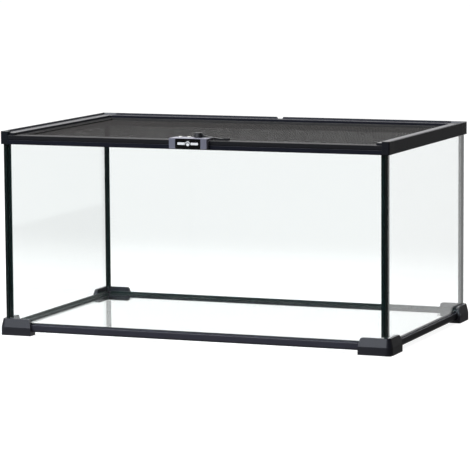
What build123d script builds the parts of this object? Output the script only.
from build123d import *

import os

# Low glass small-animal cage: five panes in two plastic frames, with a sliding mesh lid and a turn lock.
# All sizes are in millimetres. +X runs along the wide front, +Y goes to the back and +Z is up.
# The origin is on the ground, in the middle of the footprint. Profiles are drawn as (inward, height) pairs.

# --- Driving sizes --------------------------------------------------------------------------------

tank_width = 600.0  # outside of the side panes
tank_depth = 365.0  # outside of the front and back panes
cage_height = 305.0  # ground to the top of the side rails
pane = 5.0  # glass thickness
ground_edge = 0.4  # chamfer on the glass edges
bedding = 0.15  # gap between glass and plastic on each face
pane_joint = 0.6  # sealed gap between the ends of the front or back pane and the side panes

# Feet
foot_arm = 43.0  # length of each arm, from the glass corner
foot_reach = 7.8  # how far the foot stands out from the glass
foot_height = 25.0
foot_slope_start = 12.3
foot_slope = 14.0  # degrees that the upper part leans in
foot_corner = 9.0  # rounding of the outer corner
foot_end_radius = 4.0  # rounding of the upper edge at the end of each arm
foot_sole_reach = 9.0  # how far the sole runs in under the tank
pad_size = 14.0
pad_corner = 3.0
pad_proud = 0.4  # how far the rubber pad stands below the foot
pad_recess = 1.4

# Bottom rails
bottom_cover = 3.0  # glass face to the rail's outer face
bottom_rail_base = 6.0  # underside above the ground
bottom_rail_top = 16.2
bottom_rail_bevel = 3.1  # height of the bevel under the outer face
bottom_inner_top = 18.0
bottom_inner_wall = 2.45
floor_shelf = 2.85  # thickness of the shelf under the floor pane
floor_shelf_reach = 20.0  # outer face to the shelf's inner edge
pane_seat = 2.8  # plastic under the edge of a wall pane
bead_rise = 1.0  # silicone above the inner wall
bead_reach = 5.0  # silicone out over the floor pane
seal_leg = 6.0  # silicone bead in an upright corner

# Top rails
top_cover = 3.2  # glass face to the rail's outer face
top_rail_height = 19.4
lip_height = 2.5
top_inner_wall = 2.85
glass_grip = 4.4  # how deep the glass sits in a top rail
ledge_web = 3.3  # plate above the lid's groove
shelf_web = 2.0  # plate below the lid's groove
groove_height = 7.0
groove_reach = 20.5  # outer face to the inner edge of the groove's plates
rail_edge = 0.5  # small bevels along the rails
corner_leg = 24.0
corner_cap_width = 11.4
corner_cap_chamfer = 1.2
ledge_setback = 3.0  # front corner's face to the end of its ledge
plug_length = 12.0
plug_gap = 0.1
notch_radius = 5.5
notch_rise = 1.2  # centre of the cable notch above the lip

# Lid
lid_gap = 0.3  # sliding clearance above and below
lid_side_gap = 0.4
lid_front_width = 24.5
lid_bar_width = 18.4
mesh_ledge = 5.0
mesh_ledge_height = 2.5
mesh_gap = 0.3
mesh_thickness = 0.6
spline = 2.2
spline_gap = 0.1
key_width = 4.0
key_height = 3.4
key_reach = 12.0
key_gap = 0.1

# Lock
lock_width = 58.6
lock_post_width = 9.6
lock_skirt = 7.2  # stands out in front of the lid bar
lock_post_proud = 0.8
lock_base_rise = 1.5  # lock's lower edge above the front rail's
lock_plate = 3.3  # thickness of the part that lies on the lid bar
lock_rail_gap = 0.3
badge_thickness = 0.6
badge_gap = 0.4  # round the badge, to the ribs and to the lock's edges
badge_corner = 1.0
lever_offset = 8.2  # pivot to the right of the lock's middle
lever_length = 48.0
lever_hub = 8.0
lever_hub_top = 6.2
lever_hub_height = 6.4
lever_hub_edge = 1.2
lever_width = 6.5
lever_thickness = 2.0
lever_tip = 6.0  # length of the thicker end of the arm
lever_tip_rise = 1.0
lever_step_gap = 3.2  # lock's end to where the arm steps down
washer_radius = 5.0
washer_thickness = 0.6
shaft_radius = 2.0
shaft_gap = 0.25
shaft_cover = 2.0  # plastic over the shaft in the hub
press_gap = 0.02
cam_length = 8.0  # shaft's axis to the cam's far end
cam_wall = 0.5  # steel round the shaft
cam_end_radius = 1.5
cam_thickness = 1.4
cam_gap = 0.5
cam_notch_gap = 1.0  # each side of the cam as it passes over the front rail
screw_radius = 1.5
screw_head = 3.0
screw_head_height = 1.2
screw_depth = 4.5
screw_gap = 0.1
screw_inset = 9.0  # lock's left end to the first screw
screw_spacing = 14.0

# --- Places that follow from them -----------------------------------------------------------------

over = 1.0  # how far a cutting tool runs past what it cuts
half_w = tank_width / 2
half_d = tank_depth / 2
bottom_x = half_w + bottom_cover
bottom_y = half_d + bottom_cover
top_x = half_w + top_cover
top_y = half_d + top_cover

pane_base = bottom_rail_base + pane_seat
floor_base = bottom_rail_base + floor_shelf + bedding
floor_top = floor_base + pane
inner_wall = pane + bedding + bottom_inner_wall  # glass face to the far face of the bottom rail's inner wall
rail_end = floor_shelf_reach - bottom_cover + bedding  # glass corner to the end of a bottom rail
sole_top = bottom_rail_base - bedding

top_base = cage_height - top_rail_height
pane_top = top_base + glass_grip - bedding
ledge_z = cage_height - lip_height
groove_top = ledge_z - ledge_web
groove_base = groove_top - groove_height
slot_in = top_cover - bedding
slot_out = top_cover + pane + bedding
chamber_wall = slot_out + top_inner_wall  # outer face to the inner face of a top rail's body

lid_z = groove_base + lid_gap
lid_top = groove_top - lid_gap
lid_half_w = top_x - chamber_wall - lid_side_gap
lid_front_y = -(top_y - lid_gap)
lid_front_body = lid_front_y + lid_front_width - mesh_ledge  # back of the front bar's full-height part
lid_back_y = top_y - chamber_wall - lid_side_gap
lid_back_body = lid_back_y - lid_bar_width + mesh_ledge
lid_inner_x = lid_half_w - lid_bar_width + mesh_ledge
mesh_z = lid_z + mesh_ledge_height

cam_width = 2 * (shaft_radius + cam_wall)
lever_x = lever_offset
lever_y = -(top_y - chamber_wall) + cam_gap + cam_width / 2
lock_face = lid_front_y - lock_skirt
lock_base = top_base + lock_base_rise
lock_top = lid_top + lock_plate
hub_base = lock_top + washer_thickness + lid_gap
cam_base = pane_top + cam_gap

# --- Tools ----------------------------------------------------------------------------------------


def side_plane(side, reach_x, reach_y, length):
    """The plane of a profile drawn inward from one side's outer face. It extrudes along that side."""
    places = {
        "front": ((-length / 2, -reach_y, 0), (0, 1, 0), (1, 0, 0)),
        "back": ((length / 2, reach_y, 0), (0, -1, 0), (-1, 0, 0)),
        "left": ((-reach_x, length / 2, 0), (1, 0, 0), (0, -1, 0)),
        "right": ((reach_x, -length / 2, 0), (-1, 0, 0), (0, 1, 0)),
    }
    origin, inward, along = places[side]
    return Plane(origin=origin, x_dir=inward, z_dir=along)


def extrusion(points, side, reach_x, reach_y, length):
    """A bar of one closed profile along one side of the cage."""
    outline = make_face(Polyline(*points, close=True))
    return extrude(side_plane(side, reach_x, reach_y, length) * outline, amount=length)


def block(x0, x1, y0, y1, z0, z1):
    """A box between two corners."""
    return Pos((x0 + x1) / 2, (y0 + y1) / 2, (z0 + z1) / 2) * Box(x1 - x0, y1 - y0, z1 - z0)


def corner_block(a0, a1, b0, b1, z0, z1):
    """A box at the front-left corner, from distances inward from the two glass faces."""
    return block(-half_w + a0, -half_w + a1, -half_d + b0, -half_d + b1, z0, z1)


def rod(x, y, z0, z1, radius):
    """An upright cylinder."""
    return Pos(x, y, (z0 + z1) / 2) * Cylinder(radius, z1 - z0)


def turned(shape, corner):
    """A front-left piece, mirrored to the corner that it is wanted in."""
    if corner.endswith("right"):
        shape = mirror(shape, about=Plane.YZ)
    if corner.startswith("back"):
        shape = mirror(shape, about=Plane.XZ)
    return shape


def side_length(side):
    """Glass length of one side."""
    return tank_width if side in ("front", "back") else tank_depth


# --- Glass and silicone ---------------------------------------------------------------------------


def polished(shape):
    """Glass with its ground edges."""
    return chamfer(shape.edges(), ground_edge)


def glass_panes():
    """Side panes run the full depth, and the front and back panes stand between them."""
    inner = half_w - pane - pane_joint
    floor_x = half_w - inner_wall - bedding
    floor_y = half_d - inner_wall - bedding
    return {
        "glass_left": polished(block(-half_w, -half_w + pane, -half_d, half_d, pane_base, pane_top)),
        "glass_right": polished(block(half_w - pane, half_w, -half_d, half_d, pane_base, pane_top)),
        "glass_front": polished(block(-inner, inner, -half_d, -half_d + pane, pane_base, pane_top)),
        "glass_back": polished(block(-inner, inner, half_d - pane, half_d, pane_base, pane_top)),
        "glass_floor": polished(block(-floor_x, floor_x, -floor_y, floor_y, floor_base, floor_top)),
    }


def corner_seal():
    """Black silicone in the upright joint and as a hollow-faced bead inside it, at the front-left corner."""
    x = -half_w + pane
    y = -half_d + pane
    gap_x = x + pane_joint
    outline = Polyline((x, y), (x, y - pane), (gap_x, y - pane), (gap_x, y), (x + seal_leg, y))
    outline += RadiusArc((x + seal_leg, y), (x, y + seal_leg), 2 * seal_leg)
    outline += Line((x, y + seal_leg), (x, y))
    low = foot_height + bedding
    high = top_base - bedding
    return Pos(0, 0, low) * extrude(make_face(outline), amount=high - low)


def floor_seal(side):
    """The silicone fillet from a wall pane, over the rail's inner wall, down to the floor pane."""
    glass = bottom_cover + pane
    wall = bottom_cover + inner_wall
    length = side_length(side) - 2 * (inner_wall + bead_reach)
    points = [
        (glass, bottom_inner_top),
        (glass, bottom_inner_top + bead_rise),
        (wall, bottom_inner_top + bead_rise / 2),
        (wall + bead_reach / 3, floor_top + bead_reach / 3),
        (wall + bead_reach, floor_top + bead_rise / 3),
        (wall + bead_reach, floor_top),
        (wall, floor_top),
        (wall, bottom_inner_top),
    ]
    return extrusion(points, side, bottom_x, bottom_y, length)


# --- Bottom frame ---------------------------------------------------------------------------------


def bottom_rail(side):
    """A channel that holds the wall pane's lower edge, with a shelf under the floor pane."""
    slot_0 = bottom_cover - bedding
    slot_1 = bottom_cover + pane + bedding
    wall = bottom_cover + inner_wall
    shelf_top = bottom_rail_base + floor_shelf
    points = [
        (2 * bottom_rail_bevel / 3, bottom_rail_base),
        (floor_shelf_reach, bottom_rail_base),
        (floor_shelf_reach, shelf_top),
        (wall, shelf_top),
        (wall, bottom_inner_top),
        (slot_1, bottom_inner_top),
        (slot_1, pane_base),
        (slot_0, pane_base),
        (slot_0, bottom_rail_top),
        (rail_edge, bottom_rail_top),
        (0, bottom_rail_top - rail_edge),
        (0, bottom_rail_base + bottom_rail_bevel),
    ]
    return extrusion(points, side, bottom_x, bottom_y, side_length(side) - 2 * rail_end)


def foot_arm_shape(along_x):
    """One arm of the front-left foot: upright below and leaning in above, rounded at the outer corner."""
    long = foot_reach + foot_arm
    wide = foot_reach + foot_sole_reach
    size_x, size_y = (long, wide) if along_x else (wide, long)
    middle = (-half_w - foot_reach + size_x / 2, -half_d - foot_reach + size_y / 2)
    outer = Rectangle(size_x, size_y).vertices().group_by(Axis.X)[0].sort_by(Axis.Y)[:1]
    outline = Pos(*middle) * fillet(outer, foot_corner)
    lower = Pos(0, 0, pad_proud) * extrude(outline, amount=foot_slope_start - pad_proud)
    upper = extrude(outline, amount=foot_height - foot_slope_start, taper=foot_slope)
    end_edge = upper.edges().group_by(Axis.Z)[-1].sort_by(Axis.X if along_x else Axis.Y)[-1]
    return lower + Pos(0, 0, foot_slope_start) * fillet(end_edge, foot_end_radius)


def foot():
    """The front-left foot: a sole under both rails, a leaning shell outside, and the inner wall's corner."""
    body = foot_arm_shape(True) + foot_arm_shape(False)
    far = foot_arm + over
    high = foot_height + over
    # Only the shell outside the glass stands above the sole.
    body -= corner_block(-bedding, far, -bedding, far, sole_top, high)
    # Both rails' outer walls lie inside the shell.
    rail_outer = -bottom_cover - bedding
    body -= corner_block(rail_end - bedding, far, rail_outer, 0, sole_top, bottom_rail_top + bedding)
    body -= corner_block(rail_outer, 0, rail_end - bedding, far, sole_top, bottom_rail_top + bedding)
    # The corner square carries the panes and closes the gap between the rails' ends.
    end = rail_end - bedding
    body += corner_block(-bedding - over, end, -bedding - over, end, sole_top - over, pane_base - bedding)
    wall_0 = inner_wall - bottom_inner_wall
    body += corner_block(wall_0, end, wall_0, inner_wall, sole_top, bottom_inner_top)
    body += corner_block(wall_0, inner_wall, wall_0, end, sole_top, bottom_inner_top)
    body -= foot_pad(pad_proud + pad_recess)
    return body


def foot_pad(top):
    """A rounded square rubber pad under the corner of a foot, from the ground up to the height given."""
    middle = (foot_sole_reach - foot_reach) / 2
    outline = RectangleRounded(pad_size, pad_size, pad_corner)
    return Pos(-half_w + middle, -half_d + middle, 0) * extrude(outline, amount=top)


# --- Top frame ------------------------------------------------------------------------------------


def top_section():
    """A side or back rail's section: glass channel, lid groove between two plates, ledge and outer lip."""
    edge = rail_edge
    return [
        (edge, top_base),
        (slot_in, top_base),
        (slot_in, top_base + glass_grip),
        (slot_out, top_base + glass_grip),
        (slot_out, top_base),
        (chamber_wall - edge, top_base),
        (chamber_wall, top_base + edge),
        (chamber_wall, groove_base - shelf_web),
        (groove_reach, groove_base - shelf_web),
        (groove_reach, groove_base),
        (chamber_wall, groove_base),
        (chamber_wall, groove_top),
        (groove_reach, groove_top),
        (groove_reach, ledge_z - edge),
        (groove_reach - edge, ledge_z),
        (slot_in, ledge_z),
        (slot_in - edge, cage_height - edge),
        (slot_in - 2 * edge, cage_height),
        (2 * edge, cage_height),
        (0, cage_height - 2 * edge),
        (0, top_base + edge),
    ]


def chamber_section():
    """The hollow in a side or back rail, which the corner pieces plug into."""
    return [(slot_in, groove_base), (slot_out, groove_base), (slot_out, groove_top), (slot_in, groove_top)]


def top_rail(side):
    """A side or back rail between its corner pieces. The back one has a notch for a cable in its lip."""
    reach = top_x if side == "back" else top_y
    length = 2 * (reach - corner_leg)
    rail = extrusion(top_section(), side, top_x, top_y, length)
    rail -= extrusion(chamber_section(), side, top_x, top_y, length)
    if side == "back":
        rail -= Pos(0, top_y, cage_height + notch_rise) * Rot(90, 0, 0) * Cylinder(notch_radius, 2 * slot_in)
    return rail


def front_rail():
    """The low rail that the lid slides over, with a notch that the lock's cam can pass only end-on."""
    edge = rail_edge
    points = [
        (edge, top_base),
        (slot_in, top_base),
        (slot_in, top_base + glass_grip),
        (slot_out, top_base + glass_grip),
        (slot_out, top_base),
        (chamber_wall - edge, top_base),
        (chamber_wall, top_base + edge),
        (chamber_wall, groove_base - edge),
        (chamber_wall - edge, groove_base),
        (edge, groove_base),
        (0, groove_base - edge),
        (0, top_base + edge),
    ]
    rail = extrusion(points, "front", top_x, top_y, 2 * (top_x - corner_cap_width))
    half = cam_width / 2 + cam_notch_gap
    back = -top_y + chamber_wall + over
    floor = top_base + glass_grip
    notch = block(lever_x - half, lever_x + half, -top_y - over, back, floor, groove_base + over)
    return rail - notch


def corner_rail(points, along_x):
    """A short length of rail at the front-left corner, running from the corner along one side."""
    if along_x:
        plane = Plane(origin=(-top_x, -top_y, 0), x_dir=(0, 1, 0), z_dir=(1, 0, 0))
    else:
        plane = Plane(origin=(-top_x, -top_y + corner_leg, 0), x_dir=(1, 0, 0), z_dir=(0, -1, 0))
    return extrude(plane * make_face(Polyline(*points, close=True)), amount=corner_leg)


def pane_corner_slot():
    """Room for the meeting edges of two panes at the front-left corner."""
    low = top_base - over
    high = top_base + glass_grip
    side = corner_block(-bedding, pane + bedding, -bedding, half_d, low, high)
    return side + corner_block(-bedding, half_w, -bedding, pane + bedding, low, high)


def plug(along_x):
    """The tongue that runs from a corner piece into a rail's chamber."""
    across_0 = slot_in + plug_gap
    across_1 = slot_out - plug_gap
    low = groove_base + plug_gap
    high = groove_top - plug_gap
    start = corner_leg - over
    end = corner_leg + plug_length
    if along_x:
        return block(-top_x + start, -top_x + end, -top_y + across_0, -top_y + across_1, low, high)
    return block(-top_x + across_0, -top_x + across_1, -top_y + start, -top_y + end, low, high)


def front_corner():
    """A solid cap at the front-left, beside a short length of groove that is open to the front."""
    rail = corner_rail(top_section(), False)
    inner_x = -top_x + corner_cap_width
    beyond = -top_x + groove_reach + over
    # The groove's shelf stops behind the front rail, and its ledge stops short of the front.
    shelf_y = -top_y + chamber_wall + lid_gap
    rail -= block(inner_x, beyond, -top_y - over, shelf_y, top_base - over, groove_top)
    rail -= block(inner_x, beyond, -top_y - over, -top_y + ledge_setback, groove_top - over, cage_height)
    cap = block(-top_x, inner_x, -top_y, -top_y + chamber_wall, top_base, cage_height)
    cap = chamfer(cap.edges().filter_by(Axis.Z).group_by(Axis.Y)[0].sort_by(Axis.X)[:1], corner_cap_chamfer)
    cap = chamfer(cap.faces().sort_by(Axis.Z)[-1].edges(), rail_edge)
    # Behind the cap, the rail starts under its chamfered face.
    behind = -top_y + chamber_wall - over
    rail -= block(-top_x - over, inner_x, -top_y - over, behind, top_base - over, cage_height + over)
    return rail + cap + plug(False) - pane_corner_slot()


def back_corner():
    """The back-left corner piece, drawn at the front-left: two lengths of rail that meet."""
    piece = corner_rail(top_section(), False) + corner_rail(top_section(), True)
    return piece + plug(False) + plug(True) - pane_corner_slot()


# --- Lid ------------------------------------------------------------------------------------------


def lid_section(width):
    """A lid bar's section: a full-height outer part and a lower ledge for the mesh."""
    edge = rail_edge
    body = width - mesh_ledge
    return [
        (edge, lid_z),
        (width - edge, lid_z),
        (width, lid_z + edge),
        (width, mesh_z),
        (body, mesh_z),
        (body, lid_top - edge),
        (body - edge, lid_top),
        (edge, lid_top),
        (0, lid_top - edge),
        (0, lid_z + edge),
    ]


def key_shape(x, y, gap):
    """The key between a side bar and an end bar, grown by a gap for its hole."""
    z = mesh_z - mesh_ledge_height / 2 + key_height / 2
    return Pos(x, y, z) * Box(key_width + 2 * gap, 2 * key_reach + 2 * gap, key_height + 2 * gap)


def key_places():
    """The middle of each of the lid's four corner keys."""
    x = lid_half_w - (lid_bar_width - mesh_ledge) / 2
    return [(side * x, y) for side in (-1, 1) for y in (lid_front_body, lid_back_body)]


def screw_places():
    """Two screws through the lock's plate into the lid bar, to the left of the lever."""
    first = -lock_width / 2 + screw_inset
    return [(first, lever_y), (first + screw_spacing, lever_y)]


def lid_end_bar(side):
    """The front or back bar, right across the lid. Its mesh ledge ends at the side bars."""
    front = side == "front"
    width = lid_front_width if front else lid_bar_width
    reach = -lid_front_y if front else lid_back_y
    bar = extrusion(lid_section(width), side, lid_half_w, reach, 2 * lid_half_w)
    body_y = lid_front_body if front else -lid_back_body
    for end in (-1, 1):
        low_x, high_x = sorted((end * lid_inner_x, end * (lid_half_w + over)))
        cut = block(low_x, high_x, body_y, body_y + mesh_ledge + over, lid_z - over, lid_top + over)
        bar -= cut if front else mirror(cut, about=Plane.XZ)
    for x, y in key_places():
        if (y < 0) == front:
            bar -= key_shape(x, y, key_gap)
    if front:
        bar -= rod(lever_x, lever_y, lid_z - over, lid_top + over, shaft_radius + shaft_gap)
        for x, y in screw_places():
            bar -= rod(x, y, lid_top - screw_depth - screw_gap, lid_top + over, screw_radius + screw_gap)
    return bar


def lid_side_bar(side):
    """A side bar between the end bars, whose mesh ledge stops at theirs."""
    front = lid_front_body
    back = lid_back_body
    bar = extrusion(lid_section(lid_bar_width), side, lid_half_w, lid_back_y, 2 * top_y)
    bar &= block(-top_x, top_x, front, back, 0, cage_height)
    bar -= block(-lid_inner_x, lid_inner_x, front - over, front + mesh_ledge, 0, cage_height)
    bar -= block(-lid_inner_x, lid_inner_x, back - mesh_ledge, back + over, 0, cage_height)
    for x, y in key_places():
        bar -= key_shape(x, y, key_gap)
    return bar


def lid_keys():
    """Four straight keys that join the bars."""
    return Compound([key_shape(x, y, 0) for x, y in key_places()])


def mesh_bounds():
    """Half width, front and back of the mesh, inside the bars' full-height parts."""
    return lid_inner_x - mesh_gap, lid_front_body + mesh_gap, lid_back_body - mesh_gap


def lid_mesh():
    """The mesh, as a plain sheet."""
    x, front, back = mesh_bounds()
    return block(-x, x, front, back, mesh_z, mesh_z + mesh_thickness)


def mesh_spline():
    """Four strips that hold the mesh down."""
    x, front, back = mesh_bounds()
    low = mesh_z + mesh_thickness
    high = low + spline
    side_front = front + spline + spline_gap
    side_back = back - spline - spline_gap
    strips = [
        block(-x, x, front, front + spline, low, high),
        block(-x, x, back - spline, back, low, high),
        block(-x, -x + spline, side_front, side_back, low, high),
        block(x - spline, x, side_front, side_back, low, high),
    ]
    return Compound(strips)


# --- Lock -----------------------------------------------------------------------------------------


def lock_body():
    """A plate on the lid bar, and a skirt in front of it with two upright ribs beside the badge."""
    half = lock_width / 2
    plate = block(-half, half, lock_face, lid_front_body, lid_top, lock_top)
    skirt = block(-half, half, lock_face, lid_front_y, lock_base, lock_top)
    body = plate + skirt
    rail_face = -(top_y + lock_rail_gap)
    body -= block(-half - over, half + over, rail_face, rail_face + over, lock_base - over, lid_z)
    for side in (-1, 1):
        outer, inner = sorted((side * half, side * (half - lock_post_width)))
        post = block(outer, inner, lock_face - lock_post_proud, lock_face + over, lock_base, lock_top)
        body += fillet(post.edges().filter_by(Axis.Z).group_by(Axis.Y)[0], lock_post_proud / 2)
    body -= rod(lever_x, lever_y, lid_top - over, lock_top + over, shaft_radius + shaft_gap)
    for x, y in screw_places():
        body -= rod(x, y, lid_top - over, lock_top + over, screw_radius + screw_gap)
    return body


def lock_badge():
    """A blank glossy plate on the lock's face, between the ribs."""
    half = lock_width / 2 - lock_post_width - badge_gap
    low = lock_base + badge_gap
    plate = block(-half, half, lock_face - badge_thickness, lock_face, low, lock_top - badge_gap)
    return fillet(plate.edges().filter_by(Axis.Y), badge_corner)


def lock_screws():
    """Two domed screws."""
    screws = []
    for x, y in screw_places():
        head = rod(x, y, lock_top, lock_top + screw_head_height, screw_head)
        head = fillet(head.edges().group_by(Axis.Z)[-1], 2 * screw_head_height / 3)
        screws.append(head + rod(x, y, lid_top - screw_depth, lock_top, screw_radius))
    return Compound(screws)


def lock_washer():
    """The washer that the lever turns on."""
    washer = rod(lever_x, lever_y, lock_top, lock_top + washer_thickness, washer_radius)
    return washer - rod(lever_x, lever_y, lock_top - over, lock_top + over, shaft_radius + shaft_gap)


def lock_lever():
    """A tapered hub, and an arm that slopes down past the lock's body to lie low over the lid."""
    hub_top = hub_base + lever_hub_height
    hub = Pos(lever_x, lever_y, (hub_base + hub_top) / 2) * Cone(lever_hub, lever_hub_top, lever_hub_height)
    hub = fillet(hub.edges().group_by(Axis.Z)[-1], lever_hub_edge)
    step = lock_width / 2 + lever_step_gap
    tip = lever_x + lever_length
    low = lid_top + 2 * lid_gap
    points = [
        (lever_x, hub_base),
        (step, hub_base),
        (step, low),
        (tip, low),
        (tip, low + lever_thickness + lever_tip_rise),
        (tip - lever_tip, low + lever_thickness + lever_tip_rise),
        (tip - 2 * lever_tip, low + lever_thickness),
        (lever_x + lever_hub + lever_thickness, hub_base + lever_thickness),
        (lever_x + lever_hub_top, hub_top - lever_thickness / 2),
        (lever_x, hub_top - lever_thickness / 2),
    ]
    plane = Plane(origin=(0, lever_y + lever_width / 2, 0), x_dir=(1, 0, 0), z_dir=(0, -1, 0))
    arm = extrude(plane * make_face(Polyline(*points, close=True)), amount=lever_width)
    shaft_top = hub_top - shaft_cover
    return hub + arm - rod(lever_x, lever_y, hub_base - over, shaft_top + press_gap, shaft_radius + press_gap)


def lock_shaft():
    """The steel shaft from the lever's hub down through the lid bar."""
    top = hub_base + lever_hub_height - shaft_cover
    return rod(lever_x, lever_y, cam_base, top, shaft_radius)


def lock_cam():
    """A flat cam on the shaft, pointing back. Turned aside, it is caught behind the front rail's wall."""
    half = cam_width / 2
    high = cam_base + cam_thickness
    cam = block(lever_x - half, lever_x + half, lever_y, lever_y + cam_length, cam_base, high)
    cam = fillet(cam.edges().filter_by(Axis.Z).group_by(Axis.Y)[-1], cam_end_radius)
    cam += rod(lever_x, lever_y, cam_base, high, half)
    return cam - rod(lever_x, lever_y, cam_base - over, high + over, shaft_radius + press_gap)


# --- Everything -----------------------------------------------------------------------------------


def all_nodes():
    """Every piece by the name of its node."""
    nodes = glass_panes()
    one_foot = foot()
    one_pad = foot_pad(pad_proud + pad_recess)
    one_seal = corner_seal()
    top_corners = {"front": front_corner(), "back": back_corner()}
    for corner in ("front_left", "front_right", "back_left", "back_right"):
        nodes[f"foot_{corner}"] = turned(one_foot, corner)
        nodes[f"foot_pad_{corner}"] = turned(one_pad, corner)
        nodes[f"corner_seal_{corner}"] = turned(one_seal, corner)
        nodes[f"top_corner_{corner}"] = turned(top_corners[corner.split("_")[0]], corner)
    for side in ("front", "back", "left", "right"):
        nodes[f"bottom_rail_{side}"] = bottom_rail(side)
        nodes[f"floor_seal_{side}"] = floor_seal(side)
        nodes[f"top_rail_{side}"] = front_rail() if side == "front" else top_rail(side)
        nodes[f"lid_bar_{side}"] = lid_end_bar(side) if side in ("front", "back") else lid_side_bar(side)
    nodes["lid_corner_keys"] = lid_keys()
    nodes["lid_mesh"] = lid_mesh()
    nodes["mesh_spline"] = mesh_spline()
    nodes["lock_body"] = lock_body()
    nodes["lock_badge"] = lock_badge()
    nodes["lock_screws"] = lock_screws()
    nodes["lock_washer"] = lock_washer()
    nodes["lock_lever"] = lock_lever()
    nodes["lock_shaft"] = lock_shaft()
    nodes["lock_cam"] = lock_cam()
    return nodes


os.makedirs("parts", exist_ok=True)
for name, shape in all_nodes().items():
    export_step(shape, f"parts/{name}.step")
